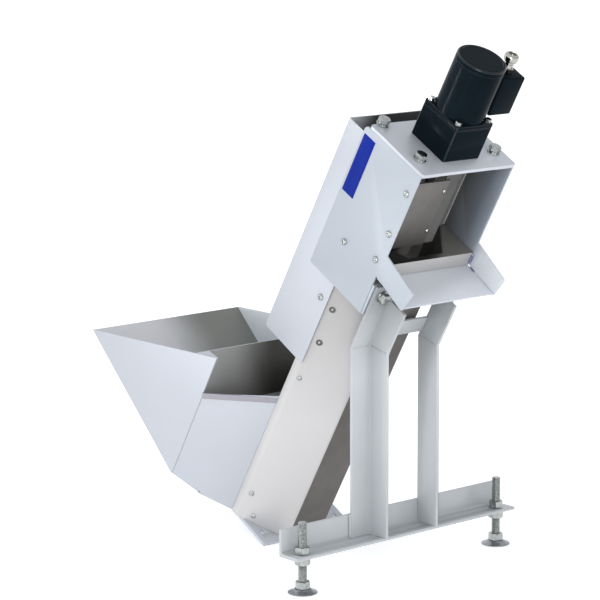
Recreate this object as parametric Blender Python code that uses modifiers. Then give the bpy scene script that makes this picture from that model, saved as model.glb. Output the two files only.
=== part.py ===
"""Inclined screw conveyor: feed hopper, closed trough, discharge head, gear motor and floor stand.

Units are metres and +Z is up. The trough climbs towards +X at INCLINE degrees, and the machine is
symmetric about the plane y = 0 apart from the tail plate, the guard plate and the terminal box.
Most pieces are placed in the conveyor's own frame, an empty named conveyor_frame:
  its X runs across the trough, towards the front and the discharge chute,
  its Y is the machine's width,
  its Z runs up along the screw, from the outer face of the tail plate.
"""

import math

import bmesh
import bpy
from mathutils import Matrix, Vector

# Whole machine
INCLINE = math.radians(60.0)
ORIGIN_X = 0.0374            # puts the origin under the middle of the bounding box
SHEET = 0.003                # folded sheet steel
GAP = 0.0003                 # left between pieces that touch
OVERCUT = 0.010              # how far a cutter runs past the face that it cuts
ROUND_STEPS = 32

# Tail
TAIL_THICK = 0.006
TAIL_NEAR = 0.098
TAIL_FAR = 0.119
TAIL_BACK = -0.130
TAIL_SLOT = (0.012, 0.007)
TAIL_SLOT_EDGE = (0.030, 0.018)     # slot centre from the plate's front and side edges
TAIL_BEARING_RADIUS = 0.028
TAIL_BEARING_TOP = 0.020

# Discharge shelf
SHELF_TOP = 0.667
LIP_LOW = 0.640

# Trough: a folded section with a narrow flat front and slanted walls
TROUGH_FRONT = -0.012
TROUGH_FRONT_HALF = 0.043
TROUGH_BEND = -0.0956
TROUGH_EDGE = -0.112
TROUGH_HALF = 0.1062
TROUGH_TOP = SHELF_TOP - SHEET - GAP

# Screw
DRIVE_X = -0.075
SHAFT_RADIUS = 0.017
FLIGHT_RADIUS = 0.052
FLIGHT_PITCH = 0.090
FLIGHT_SECTIONS = ("lower", "middle", "upper")
SECTION_TURNS = 13 / 6
SECTION_STEPS = 52
FLIGHT_THICK = 0.003
FLIGHT_BOTTOM = 0.040
SHAFT_BOTTOM = 0.0255
SHAFT_TOP = 0.655
JOURNAL_RADIUS = 0.010
JOURNAL_BOTTOM = 0.010
SPINDLE_RADIUS = 0.0075

# Hood: the inverted U that closes the trough from behind
HOOD_BACK = -0.2078
HOOD_EDGE = -0.0915
HOOD_HALF = 0.1089
HOOD_SHEET = 0.002
HOOD_BOTTOM = 0.380
HOOD_TOP = 0.8395

# Hopper
RIM_Z = 0.366
RIM_BACK_X = -0.4186
HOPPER_BACK_SLOPE = math.radians(45.0)
HOPPER_HALF = 0.184
HOPPER_BEND = -0.2194
HOPPER_D = 0.0242            # height along the screw where side, back and slanted panels meet
HOPPER_BREAK = (-0.1706, 0.1468)    # where the back panel meets the bottom plate, and its half width
NOTCH_C = 0.2098
NOTCH_E = 0.2752
NOTCH_LIP = 0.009
BAFFLE_X = -0.1035
BAFFLE_HEIGHT = 0.1025
GUSSET_WIDTH = 0.031

# Head box
HEAD_HALF = 0.1125
HEAD_BACK = -0.162
HEAD_FRONT = -0.0045
HEAD_BOTTOM = 0.5605
HEAD_FRONT_LOW = -0.0095
HEAD_TOP = 0.862
HEAD_PLATE = 0.006
HEAD_PLATE_BACK = -0.153
HEAD_PLATE_FRONT = -0.0012
HEAD_PLATE_CORNER = 0.006
HEAD_CORNER = 0.009
TOP_FLANGE = 0.044
LEG_FLANGE_HALF = 0.060
CHUTE_TOP = 0.689
CHUTE_TIP_TOP = (0.082, 0.670)
CHUTE_TIP_LOW = (0.0725, 0.6275)
CHUTE_CORNER = 0.003
CHUTE_HEEL = 0.642
CHUTE_FLOOR_START = -0.0075
CHUTE_FLOOR_LENGTH = 0.0800
CHUTE_FLOOR_TILT = math.radians(-4.5)
SHELF_MOUTH_BACK = 0.030     # how far the mouth's cut runs behind the trough's edge
GUARD_X = -0.0455
GUARD_EDGE = 0.0175
GUARD_TOP = 0.8065

# Gear motor
GEARBOX_SIZE = (0.092, 0.087)
GEARBOX_HEIGHT = 0.0635
FLANGE_HEIGHT = 0.008
MOTOR_RADIUS = 0.045
MOTOR_HEIGHT = 0.097
MOTOR_CAP_HEIGHT = 0.011
MOTOR_CAP_ROUND = 0.005
TERMINAL_SIZE = (0.052, 0.0527, 0.0755)
TERMINAL_S = 0.9368
GLAND_Y = 0.0715
GLAND_NUT = (0.0125, 0.008)
GLAND_NECK = (0.009, 0.024)
GLAND_CAP = (0.0130, 0.034)

# Stand: two legs and a base bar in equal angle, and two levelling feet
LEG_HEEL_X = 0.240
ANGLE = 0.050
ANGLE_THICK = 0.006
LEG_HEEL_HALF = 0.0585
LEG_TOP = 0.623
LEG_TRIM = 0.590
CROSS_BAR_S = (0.5005, 0.532)
CROSS_BAR_THICK = 0.005
BAR_TOP_Z = 0.0701
BAR_HALF = 0.269
FOOT_HALF = 0.240
FOOT_INSET = 0.029
STUD_RADIUS = 0.008
STUD_TOP_Z = 0.128
NUT_ACROSS_FLATS = 0.024
NUT_HEIGHT = 0.013
FOOT_RADIUS = 0.0265
FOOT_TOP_RADIUS = 0.0245
FOOT_HEIGHT = 0.008

# Worked out from the sizes above
ORIGIN_SHIFT = -ORIGIN_X
LIFT_Z = TROUGH_FRONT * math.cos(INCLINE)
LEG_X = ORIGIN_SHIFT + LEG_HEEL_X
HOPPER_BOTTOM = TAIL_THICK + GAP + SHEET
BACK_FALL = HOPPER_BACK_SLOPE - (math.pi / 2 - INCLINE)
HOPPER_INNER = HOPPER_HALF - SHEET - GAP
HEAD_INNER = HEAD_HALF - SHEET - GAP

COLORS = {
    "matt_stainless": ((0.62, 0.66, 0.72), 0.0, 0.35),
    "stainless": ((0.62, 0.60, 0.57), 1.0, 0.3),
    "grey_angle": ((0.50, 0.51, 0.51), 0.0, 0.45),
    "motor_black": ((0.012, 0.014, 0.02), 0.0, 0.15),
    "zinc": ((0.60, 0.60, 0.58), 1.0, 0.35),
    "nickel": ((0.66, 0.62, 0.56), 1.0, 0.2),
}


def clear_scene():
    for old in list(bpy.data.objects):
        bpy.data.objects.remove(old)


def make_collection(name):
    collection = bpy.data.collections.new(name)
    bpy.context.scene.collection.children.link(collection)
    return collection


def make_material(name):
    color, metallic, roughness = COLORS[name]
    material = bpy.data.materials.new(name)
    material.use_nodes = True
    shader = material.node_tree.nodes["Principled BSDF"]
    shader.inputs["Base Color"].default_value = (*color, 1.0)
    shader.inputs["Metallic"].default_value = metallic
    shader.inputs["Roughness"].default_value = roughness
    return material


def to_world(across, y, along):
    """World place of a point given in the conveyor's frame."""
    x = ORIGIN_SHIFT + across * math.sin(INCLINE) + along * math.cos(INCLINE)
    return Vector((x, y, LIFT_Z - across * math.cos(INCLINE) + along * math.sin(INCLINE)))


def add_part(name, data, material, location=(0, 0, 0), rotation=(0, 0, 0), tilted=True):
    part = bpy.data.objects.new(name, data)
    part.location = location
    part.rotation_euler = rotation
    part.data.materials.append(MATERIALS[material])
    PARTS.objects.link(part)
    if tilted:
        part.parent = CONVEYOR
    return part


def box(name, low, high, material, tilted=True):
    mesh = bpy.data.meshes.new(name)
    shape = bmesh.new()
    size = Vector(high) - Vector(low)
    middle = (Vector(high) + Vector(low)) / 2
    place = Matrix.Translation(middle) @ Matrix.Diagonal((*size, 1.0))
    bmesh.ops.create_cube(shape, size=1.0, matrix=place)
    shape.to_mesh(mesh)
    shape.free()
    return add_part(name, mesh, material, tilted=tilted)


def rod(name, radius, low, high, x, y, material, steps=ROUND_STEPS, tilted=True, top_radius=None):
    """A round or, with six steps, a hexagonal bar along Z."""
    mesh = bpy.data.meshes.new(name)
    shape = bmesh.new()
    bmesh.ops.create_cone(shape, cap_ends=True, segments=steps, radius1=radius,
                          radius2=radius if top_radius is None else top_radius, depth=high - low,
                          matrix=Matrix.Translation((x, y, (low + high) / 2)))
    shape.to_mesh(mesh)
    shape.free()
    part = add_part(name, mesh, material, tilted=tilted)
    if steps > 6:
        mesh.shade_smooth()
        mesh.set_sharp_from_angle(angle=math.radians(35))
    return part


def rounded(points, index, radius, steps=4):
    """The outline with one of its corners replaced by an arc."""
    corner = Vector(points[index])
    towards_last = (Vector(points[index - 1]) - corner).normalized()
    towards_next = (Vector(points[(index + 1) % len(points)]) - corner).normalized()
    half_angle = towards_last.angle(towards_next) / 2
    center = corner + (towards_last + towards_next).normalized() * radius / math.sin(half_angle)
    start = corner + towards_last * radius / math.tan(half_angle) - center
    end = corner + towards_next * radius / math.tan(half_angle) - center
    arc = []
    for step in range(steps + 1):
        middle = start.lerp(end, step / steps).normalized()
        arc.append(tuple(center + middle * radius))
    return points[:index] + arc + points[index + 1:]


def outline_curve(name, points, thickness):
    """A flat plate: its outline in the local XY plane, with its thickness centred on that plane."""
    curve = bpy.data.curves.new(name, "CURVE")
    curve.dimensions = "2D"
    curve.fill_mode = "BOTH"
    curve.extrude = thickness / 2
    spline = curve.splines.new("POLY")
    spline.points.add(len(points) - 1)
    for point, (x, y) in zip(spline.points, points):
        point.co = (x, y, 0.0, 1.0)
    spline.use_cyclic_u = True
    return curve


def plate(name, points, thickness, material, location=(0, 0, 0), rotation=(0, 0, 0), tilted=True):
    return add_part(name, outline_curve(name, points, thickness), material, location, rotation, tilted)


def plate_mesh(name, points, thickness, material, location=(0, 0, 0), rotation=(0, 0, 0), tilted=True):
    """The same plate as a welded mesh, for pieces that are cut or joined."""
    guide = bpy.data.objects.new(name + "_outline", outline_curve(name, points, thickness))
    bpy.context.scene.collection.objects.link(guide)
    graph = bpy.context.evaluated_depsgraph_get()
    mesh = bpy.data.meshes.new_from_object(guide.evaluated_get(graph))
    bpy.data.objects.remove(guide)
    shape = bmesh.new()
    shape.from_mesh(mesh)
    bmesh.ops.remove_doubles(shape, verts=shape.verts, dist=0.00001)
    bmesh.ops.recalc_face_normals(shape, faces=shape.faces)
    shape.to_mesh(mesh)
    shape.free()
    mesh.name = name
    return add_part(name, mesh, material, location, rotation, tilted)


def folded_sheet(name, profile, low, high, thickness, material, rotation=(0, 0, 0), side=1.0):
    """A sheet folded along its profile in local XY and running along local Z from low to high."""
    mesh = bpy.data.meshes.new(name)
    shape = bmesh.new()
    verts = [shape.verts.new((x, y, low)) for x, y in profile]
    edges = [shape.edges.new(pair) for pair in zip(verts, verts[1:])]
    grown = bmesh.ops.extrude_edge_only(shape, edges=edges)
    moved = [item for item in grown["geom"] if isinstance(item, bmesh.types.BMVert)]
    bmesh.ops.translate(shape, verts=moved, vec=(0, 0, high - low))
    shape.to_mesh(mesh)
    shape.free()
    part = add_part(name, mesh, material, rotation=rotation)
    solid = part.modifiers.new("sheet", "SOLIDIFY")
    solid.thickness = thickness
    solid.offset = side
    solid.use_even_offset = True
    return part


def hide_cutter(cutter):
    PARTS.objects.unlink(cutter)
    CUTTERS.objects.link(cutter)
    cutter.hide_render = True
    cutter.display_type = "WIRE"


def combine(part, other, operation):
    change = part.modifiers.new(operation.lower(), "BOOLEAN")
    change.operation = operation
    change.solver = "EXACT"
    change.object = other
    hide_cutter(other)


def mirrored(points):
    """Adds to a half outline, given from back to front at +Y, its other half."""
    return points + [(x, -y) for x, y in reversed(points)]


def make_trough():
    half = [(TROUGH_EDGE, TROUGH_HALF), (TROUGH_BEND, TROUGH_HALF), (TROUGH_FRONT, TROUGH_FRONT_HALF)]
    folded_sheet("trough", mirrored(half), TAIL_THICK + GAP, TROUGH_TOP, SHEET, "stainless", side=-1.0)


def make_tail():
    plate_body = box("tail_plate", (TAIL_BACK, -TAIL_NEAR, 0), (TROUGH_FRONT, TAIL_FAR, TAIL_THICK),
                     "matt_stainless")
    length, width = TAIL_SLOT
    across = TROUGH_FRONT - TAIL_SLOT_EDGE[0]
    for y, label in ((TAIL_SLOT_EDGE[1] - TAIL_NEAR, "left"), (TAIL_FAR - TAIL_SLOT_EDGE[1], "right")):
        slot = box("slot_cutter_" + label, (across - length / 2, y - width / 2, -OVERCUT),
                   (across + length / 2, y + width / 2, TAIL_THICK + OVERCUT), "zinc")
        combine(plate_body, slot, "DIFFERENCE")
    bearing = rod("tail_bearing", TAIL_BEARING_RADIUS, TAIL_THICK + GAP, TAIL_BEARING_TOP, DRIVE_X, 0,
                  "grey_angle")
    bore = rod("bearing_cutter", JOURNAL_RADIUS + GAP, JOURNAL_BOTTOM - GAP, TAIL_BEARING_TOP + OVERCUT,
               DRIVE_X, 0, "zinc")
    combine(bearing, bore, "DIFFERENCE")


def make_screw():
    shaft = rod("screw_shaft", SHAFT_RADIUS, SHAFT_BOTTOM, SHAFT_TOP, 0, 0, "stainless")
    journal = rod("journal", JOURNAL_RADIUS, JOURNAL_BOTTOM, SHAFT_BOTTOM + OVERCUT, 0, 0, "stainless")
    spindle = rod("spindle", SPINDLE_RADIUS, SHAFT_TOP - OVERCUT, HEAD_TOP, 0, 0, "stainless")
    combine(shaft, journal, "UNION")
    combine(shaft, spindle, "UNION")
    axis = bpy.data.objects.new("screw_axis", None)
    axis.location = (DRIVE_X, 0, 0)
    PARTS.objects.link(axis)
    axis.parent = CONVEYOR
    for piece in (shaft, journal, spindle):
        piece.parent = axis
    for number, label in enumerate(FLIGHT_SECTIONS):
        make_flight("screw_flight_" + label, SECTION_TURNS * number).parent = axis


def make_flight(name, turns_below):
    """One section of the flight. The sections meet end to end, a GAP apart at the shaft."""
    mesh = bpy.data.meshes.new(name)
    inner = (SHAFT_RADIUS + GAP) / math.cos(math.pi / ROUND_STEPS)
    shape = bmesh.new()
    line = [shape.verts.new((radius, 0, 0)) for radius in (inner, FLIGHT_RADIUS)]
    shape.edges.new(line)
    shape.to_mesh(mesh)
    shape.free()
    flight = add_part(name, mesh, "stainless", (0, 0, FLIGHT_BOTTOM + FLIGHT_PITCH * turns_below),
                      (0, 0, 2 * math.pi * turns_below))
    angle = 2 * math.pi * SECTION_TURNS - GAP / SHAFT_RADIUS
    turn = flight.modifiers.new("helix", "SCREW")
    turn.angle = angle
    turn.screw_offset = FLIGHT_PITCH * angle / (2 * math.pi)
    turn.steps = SECTION_STEPS
    turn.render_steps = SECTION_STEPS
    turn.merge_threshold = 0.0
    solid = flight.modifiers.new("blade", "SOLIDIFY")
    solid.thickness = FLIGHT_THICK
    solid.offset = 0.0
    return flight


def make_hood():
    half = [(HOOD_EDGE, HOOD_HALF), (HOOD_BACK, HOOD_HALF)]
    folded_sheet("hood", mirrored(half), HOOD_BOTTOM, HOOD_TOP, HOOD_SHEET, "matt_stainless", side=1.0)


def make_hopper_slant(label, side):
    """The slanted panel between the trough's edge and a hopper side, standing on the bottom plates."""
    outer = Vector((HOPPER_BEND, side * (HOPPER_HALF - SHEET / 2)))
    inner = Vector((TROUGH_EDGE, side * (TROUGH_HALF - SHEET / 2)))
    inner.x -= GAP + SHEET / 2 * abs((outer - inner).normalized().y)
    slope = outer - inner
    width = slope.length - SHEET / 2
    break_at = (inner.x - HOPPER_BREAK[0]) / abs(slope.normalized().x)
    clear = (SHEET / 2 + GAP) / math.cos(BACK_FALL)
    back_low = HOPPER_D + clear
    back_break = back_low - (width - break_at) * abs(slope.normalized().x) * math.tan(BACK_FALL)
    outline = [(0.0, HOPPER_BOTTOM + GAP), (break_at - SHEET, HOPPER_BOTTOM + GAP),
               (break_at - SHEET, back_break), (width, back_low), (width, NOTCH_C + NOTCH_LIP),
               (0.0, NOTCH_E + NOTCH_LIP)]
    plate("hopper_slant_" + label, outline, SHEET, "matt_stainless", (inner.x, inner.y, 0),
          (math.pi / 2, 0, math.atan2(slope.y, slope.x)))


def make_hopper():
    corner_d = to_world(HOPPER_BEND, 0, HOPPER_D)
    along_b = (RIM_Z - LIFT_Z + HOPPER_BEND * math.cos(INCLINE)) / math.sin(INCLINE)
    corner_b = to_world(HOPPER_BEND, 0, along_b)
    back_x = ORIGIN_SHIFT + RIM_BACK_X
    baffle_x = ORIGIN_SHIFT + BAFFLE_X
    for side, label in ((-1, "left"), (1, "right")):
        outline = [(back_x, RIM_Z), (corner_b.x, RIM_Z), (corner_d.x, corner_d.z)]
        plate("hopper_side_" + label, outline, SHEET, "matt_stainless",
              (0, side * (HOPPER_HALF - SHEET / 2), 0), (math.pi / 2, 0, 0), tilted=False)
        make_hopper_slant(label, side)
        start = baffle_x + SHEET / 2 + GAP
        end = corner_b.x - SHEET
        outline = [(start, side * HOPPER_INNER), (start, side * (HOPPER_INNER - GUSSET_WIDTH)),
                   (end, side * (HOPPER_INNER - SHEET)), (end, side * HOPPER_INNER)]
        plate("hopper_gusset_" + label, outline, SHEET, "matt_stainless", (0, 0, RIM_Z - SHEET / 2),
              tilted=False)
    fall = Vector((corner_d.x - back_x, corner_d.z - RIM_Z))
    angle = math.atan2(fall.y, fall.x)
    break_x, break_half = HOPPER_BREAK
    tail_length = (break_x - HOPPER_BEND) / math.cos(BACK_FALL)
    start = SHEET / 2
    end = fall.length + tail_length
    outline = [(start, HOPPER_INNER), (fall.length, HOPPER_INNER), (end, break_half), (end, -break_half),
               (fall.length, -HOPPER_INNER), (start, -HOPPER_INNER)]
    plate("hopper_back", outline, SHEET, "matt_stainless", (back_x, 0, RIM_Z), (0, -angle, 0),
          tilted=False)
    front = TROUGH_EDGE - SHEET
    bottom = [(break_x - SHEET, break_half), (front, TROUGH_HALF)]
    plate("hopper_bottom", mirrored(bottom), SHEET, "matt_stainless", (0, 0, HOPPER_BOTTOM - SHEET / 2))
    box("hopper_front_baffle", (baffle_x - SHEET / 2, -HOPPER_INNER, RIM_Z - BAFFLE_HEIGHT),
        (baffle_x + SHEET / 2, HOPPER_INNER, RIM_Z), "matt_stainless", tilted=False)


def make_head():
    top = HEAD_TOP - HEAD_PLATE - GAP
    outline = [(HEAD_BACK, HEAD_BOTTOM), (HEAD_BACK, top), (HEAD_FRONT, top), (HEAD_FRONT, CHUTE_TOP),
               CHUTE_TIP_TOP, CHUTE_TIP_LOW, (HEAD_FRONT_LOW, CHUTE_HEEL), (HEAD_FRONT_LOW, HEAD_BOTTOM)]
    outline = rounded(outline, outline.index(CHUTE_TIP_LOW), CHUTE_CORNER)
    outline = rounded(outline, outline.index(CHUTE_TIP_TOP), CHUTE_CORNER)
    outline = rounded(outline, outline.index((HEAD_BACK, top)), HEAD_CORNER)
    for side, label in ((-1, "left"), (1, "right")):
        wall = plate_mesh("head_side_" + label, outline, SHEET, "matt_stainless",
                          (0, side * (HEAD_HALF - SHEET / 2), 0), (math.pi / 2, 0, 0))
        outer = HEAD_HALF - SHEET / 2
        low_y, high_y = sorted((side * (HEAD_HALF - TOP_FLANGE), side * outer))
        flange = box("top_flange_" + label, (HEAD_PLATE_BACK, low_y, top - GAP - SHEET),
                     (HEAD_FRONT - GAP, high_y, top - GAP), "matt_stainless")
        combine(wall, flange, "UNION")
        low_y, high_y = sorted((side * LEG_FLANGE_HALF, side * outer))
        leg_flange = box("leg_flange_" + label, (HEAD_FRONT_LOW - SHEET, low_y, HEAD_BOTTOM + GAP),
                         (HEAD_FRONT, high_y, LEG_TOP), "matt_stainless")
        combine(wall, leg_flange, "UNION")
    shelf_profile = [(HOOD_EDGE + GAP, SHELF_TOP), (HEAD_FRONT, SHELF_TOP), (HEAD_FRONT, LIP_LOW)]
    shelf = folded_sheet("shelf_plate", shelf_profile, -HEAD_INNER, HEAD_INNER, SHEET, "stainless",
                         (math.pi / 2, 0, 0), side=-1.0)
    half = [(TROUGH_EDGE - SHELF_MOUTH_BACK, TROUGH_HALF - SHEET), (TROUGH_BEND, TROUGH_HALF - SHEET),
            (TROUGH_FRONT - SHEET, TROUGH_FRONT_HALF - SHEET / 2)]
    mouth = plate_mesh("shelf_cutter", mirrored(half), 2 * OVERCUT, "stainless", (0, 0, SHELF_TOP))
    combine(shelf, mouth, "DIFFERENCE")
    floor = [(0.0, -HEAD_INNER), (CHUTE_FLOOR_LENGTH, -HEAD_INNER), (CHUTE_FLOOR_LENGTH, HEAD_INNER),
             (0.0, HEAD_INNER)]
    plate("chute_floor", floor, SHEET, "matt_stainless", (CHUTE_FLOOR_START, 0, LIP_LOW - GAP - SHEET / 2),
          (0, -CHUTE_FLOOR_TILT, 0))
    outline = mirrored([(HEAD_PLATE_BACK, HEAD_HALF), (HEAD_PLATE_FRONT, HEAD_HALF)])
    for corner in list(outline):
        outline = rounded(outline, outline.index(corner), HEAD_PLATE_CORNER)
    head = plate_mesh("head_plate", outline, HEAD_PLATE, "matt_stainless",
                      (0, 0, HEAD_TOP - HEAD_PLATE / 2))
    bore = rod("head_bore_cutter", SPINDLE_RADIUS + GAP, HEAD_TOP - HEAD_PLATE - OVERCUT, HEAD_TOP + OVERCUT,
               DRIVE_X, 0, "zinc")
    combine(head, bore, "DIFFERENCE")
    box("guard_plate", (GUARD_X - SHEET, -HEAD_INNER, SHELF_TOP + GAP), (GUARD_X, GUARD_EDGE, GUARD_TOP),
        "stainless")


def make_motor():
    seat = HEAD_TOP + GAP
    depth, width = GEARBOX_SIZE
    for name, height in (("gearbox", GEARBOX_HEIGHT), ("motor_flange", FLANGE_HEIGHT)):
        box(name, (DRIVE_X - depth / 2, -width / 2, seat), (DRIVE_X + depth / 2, width / 2, seat + height),
            "motor_black")
        seat += height + GAP
    cap = seat + MOTOR_HEIGHT
    rod("motor_body", MOTOR_RADIUS, seat, cap, DRIVE_X, 0, "motor_black")
    end_cap = rod("motor_end_cap", MOTOR_RADIUS, cap + GAP, cap + MOTOR_CAP_HEIGHT, DRIVE_X, 0,
                  "motor_black")
    edge = end_cap.modifiers.new("round_edge", "BEVEL")
    edge.width = MOTOR_CAP_ROUND
    edge.segments = 3
    edge.limit_method = "ANGLE"
    edge.angle_limit = math.radians(60)
    thick, wide, tall = TERMINAL_SIZE
    near = MOTOR_RADIUS + GAP
    terminal_top = TERMINAL_S + tall
    box("terminal_box", (DRIVE_X - thick / 2, near, TERMINAL_S),
        (DRIVE_X + thick / 2, near + wide, terminal_top), "motor_black")
    gland = rod("cable_gland", GLAND_NECK[0], terminal_top + GAP, terminal_top + GLAND_NECK[1], DRIVE_X,
                GLAND_Y, "nickel")
    nut = rod("gland_nut", GLAND_NUT[0], terminal_top + GAP, terminal_top + GLAND_NUT[1], DRIVE_X, GLAND_Y,
              "nickel", steps=6)
    cap = rod("gland_cap", GLAND_CAP[0], terminal_top + GLAND_NECK[1] - SHEET, terminal_top + GLAND_CAP[1],
              DRIVE_X, GLAND_Y, "nickel")
    combine(gland, nut, "UNION")
    combine(gland, cap, "UNION")


def make_leg(name, side):
    """Equal angle, upright to the mitre and then parallel to the trough, heel towards the middle."""
    heel = side * LEG_HEEL_HALF
    profile = [(0, 0), (ANGLE, 0), (ANGLE, ANGLE_THICK), (ANGLE_THICK, ANGLE_THICK),
               (ANGLE_THICK, ANGLE), (0, ANGLE)]
    back = HEAD_FRONT + GAP
    mitre_along = (LEG_HEEL_X - back * math.sin(INCLINE)) / math.cos(INCLINE)
    mitre_z = to_world(back, 0, mitre_along).z
    turn = (math.pi / 2 - INCLINE) / 2
    mesh = bpy.data.meshes.new(name)
    shape = bmesh.new()
    foot = [shape.verts.new((LEG_X + x, heel + side * y, BAR_TOP_Z + GAP)) for x, y in profile]
    edges = [shape.edges.new((first, second)) for first, second in zip(foot, foot[1:] + foot[:1])]
    up = Vector((math.cos(INCLINE), 0, math.sin(INCLINE)))
    for level in ("mitre", "top"):
        grown = bmesh.ops.extrude_edge_only(shape, edges=edges)["geom"]
        edges = [item for item in grown if isinstance(item, bmesh.types.BMEdge)]
        for vert in (item for item in grown if isinstance(item, bmesh.types.BMVert)):
            offset = vert.co.x - LEG_X
            if level == "mitre":
                vert.co.z = mitre_z - offset * math.tan(turn)
            else:
                vert.co += up * (LEG_TOP - mitre_along - offset * math.tan(turn))
    bmesh.ops.holes_fill(shape, edges=shape.edges)
    bmesh.ops.recalc_face_normals(shape, faces=shape.faces)
    shape.to_mesh(mesh)
    shape.free()
    leg = add_part(name, mesh, "grey_angle", tilted=False)
    low_y, high_y = sorted((heel - side * OVERCUT, heel + side * (ANGLE + OVERCUT)))
    trim = box(name + "_trim_cutter", (back + ANGLE_THICK + SHEET, low_y, LEG_TRIM),
               (back + ANGLE + OVERCUT, high_y, LEG_TOP + OVERCUT), "zinc")
    combine(leg, trim, "DIFFERENCE")


def make_foot(label, y, stud_x, bar_low):
    rod("foot_disc_" + label, FOOT_RADIUS, 0, FOOT_HEIGHT, stud_x, y, "zinc", tilted=False,
        top_radius=FOOT_TOP_RADIUS)
    rod("foot_stud_" + label, STUD_RADIUS, FOOT_HEIGHT + GAP, STUD_TOP_Z, stud_x, y, "zinc", tilted=False)
    nut_radius = NUT_ACROSS_FLATS / math.sqrt(3)
    seats = {"base": FOOT_HEIGHT + GAP, "lower": bar_low - GAP - NUT_HEIGHT, "upper": BAR_TOP_Z + GAP}
    for place, seat in seats.items():
        nut = rod("foot_nut_" + place + "_" + label, nut_radius, seat, seat + NUT_HEIGHT, stud_x, y, "zinc",
                  steps=6, tilted=False)
        thread = rod("nut_cutter_" + place + "_" + label, STUD_RADIUS + GAP, seat - OVERCUT,
                     seat + NUT_HEIGHT + OVERCUT, stud_x, y, "zinc", tilted=False)
        combine(nut, thread, "DIFFERENCE")


def make_stand():
    for side, label in ((-1, "left"), (1, "right")):
        make_leg("leg_" + label, side)
    back = HEAD_FRONT + GAP
    box("cross_bar", (back, -(LEG_HEEL_HALF - GAP), CROSS_BAR_S[0]),
        (back + CROSS_BAR_THICK, LEG_HEEL_HALF - GAP, CROSS_BAR_S[1]), "grey_angle")
    bar_x = LEG_X - ANGLE_THICK - GAP
    low = BAR_TOP_Z - ANGLE_THICK
    profile = [(bar_x, low), (bar_x + ANGLE, low), (bar_x + ANGLE, BAR_TOP_Z),
               (bar_x + ANGLE_THICK, BAR_TOP_Z), (bar_x + ANGLE_THICK, low + ANGLE), (bar_x, low + ANGLE)]
    bar = plate_mesh("base_bar", profile, 2 * BAR_HALF, "grey_angle", rotation=(math.pi / 2, 0, 0),
                     tilted=False)
    stud_x = bar_x + FOOT_INSET
    for side, label in ((-1, "left"), (1, "right")):
        y = side * FOOT_HALF
        hole = rod("stud_cutter_" + label, STUD_RADIUS + GAP, low - OVERCUT, BAR_TOP_Z + OVERCUT, stud_x, y,
                   "zinc", tilted=False)
        combine(bar, hole, "DIFFERENCE")
        make_foot(label, y, stud_x, low)


clear_scene()
PARTS = make_collection("screw_conveyor")
CUTTERS = make_collection("cutters")
MATERIALS = {name: make_material(name) for name in COLORS}
CONVEYOR = bpy.data.objects.new("conveyor_frame", None)
CONVEYOR.location = (ORIGIN_SHIFT, 0, LIFT_Z)
CONVEYOR.rotation_euler = (0, math.pi / 2 - INCLINE, 0)
PARTS.objects.link(CONVEYOR)

make_trough()
make_tail()
make_screw()
make_hood()
make_hopper()
make_head()
make_motor()
make_stand()
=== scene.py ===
"""The looks of an inclined screw conveyor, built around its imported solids. Metres, +Z up."""

import math

import bmesh
import bpy
from mathutils import Matrix, Vector


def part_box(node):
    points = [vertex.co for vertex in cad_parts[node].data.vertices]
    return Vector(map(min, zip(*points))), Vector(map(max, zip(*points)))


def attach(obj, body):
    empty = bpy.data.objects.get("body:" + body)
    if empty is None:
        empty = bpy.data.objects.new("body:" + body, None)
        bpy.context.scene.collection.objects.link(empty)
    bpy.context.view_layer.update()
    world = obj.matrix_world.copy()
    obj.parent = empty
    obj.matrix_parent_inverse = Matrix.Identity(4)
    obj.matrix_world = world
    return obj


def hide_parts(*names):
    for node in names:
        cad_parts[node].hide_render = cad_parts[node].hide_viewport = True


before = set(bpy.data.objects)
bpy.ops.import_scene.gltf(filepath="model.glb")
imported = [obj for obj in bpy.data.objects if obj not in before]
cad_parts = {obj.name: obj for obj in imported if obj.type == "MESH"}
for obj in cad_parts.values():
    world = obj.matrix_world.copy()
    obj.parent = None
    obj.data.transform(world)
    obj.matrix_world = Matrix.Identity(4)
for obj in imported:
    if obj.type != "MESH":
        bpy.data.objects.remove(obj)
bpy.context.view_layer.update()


# Base bar
# A length of 50 x 50 x 6 mm hot-rolled equal angle, sawn off square and drilled for the two
# levelling feet. Rolling leaves rounded toes and a filled root; it is painted light grey.

def linear(code):
    """The linear colour of an sRGB hex value."""
    parts = [int(code[start:start + 2], 16) / 255 for start in (1, 3, 5)]
    return tuple(part / 12.92 if part <= 0.04045 else ((part + 0.055) / 1.055) ** 2.4
                 for part in parts) + (1.0,)


def add_node(material, kind, settings, links=()):
    """One node with its settings and its links, each from an output to another node's socket."""
    node = material.node_tree.nodes.new(kind)
    for name, value in settings.items():
        if isinstance(name, int) or name in node.inputs:
            node.inputs[name].default_value = value
        else:
            setattr(node, name, value)
    for output, target, socket in links:
        material.node_tree.links.new(node.outputs[output], target.inputs[socket])
    return node


def start_material(name, settings):
    """A new material with its shader, and that shader."""
    material = bpy.data.materials.new(name)
    material.use_nodes = True
    material.node_tree.nodes.clear()
    output = add_node(material, "ShaderNodeOutputMaterial", {})
    return material, add_node(material, "ShaderNodeBsdfPrincipled", settings,
                              [("BSDF", output, "Surface")])


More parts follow.
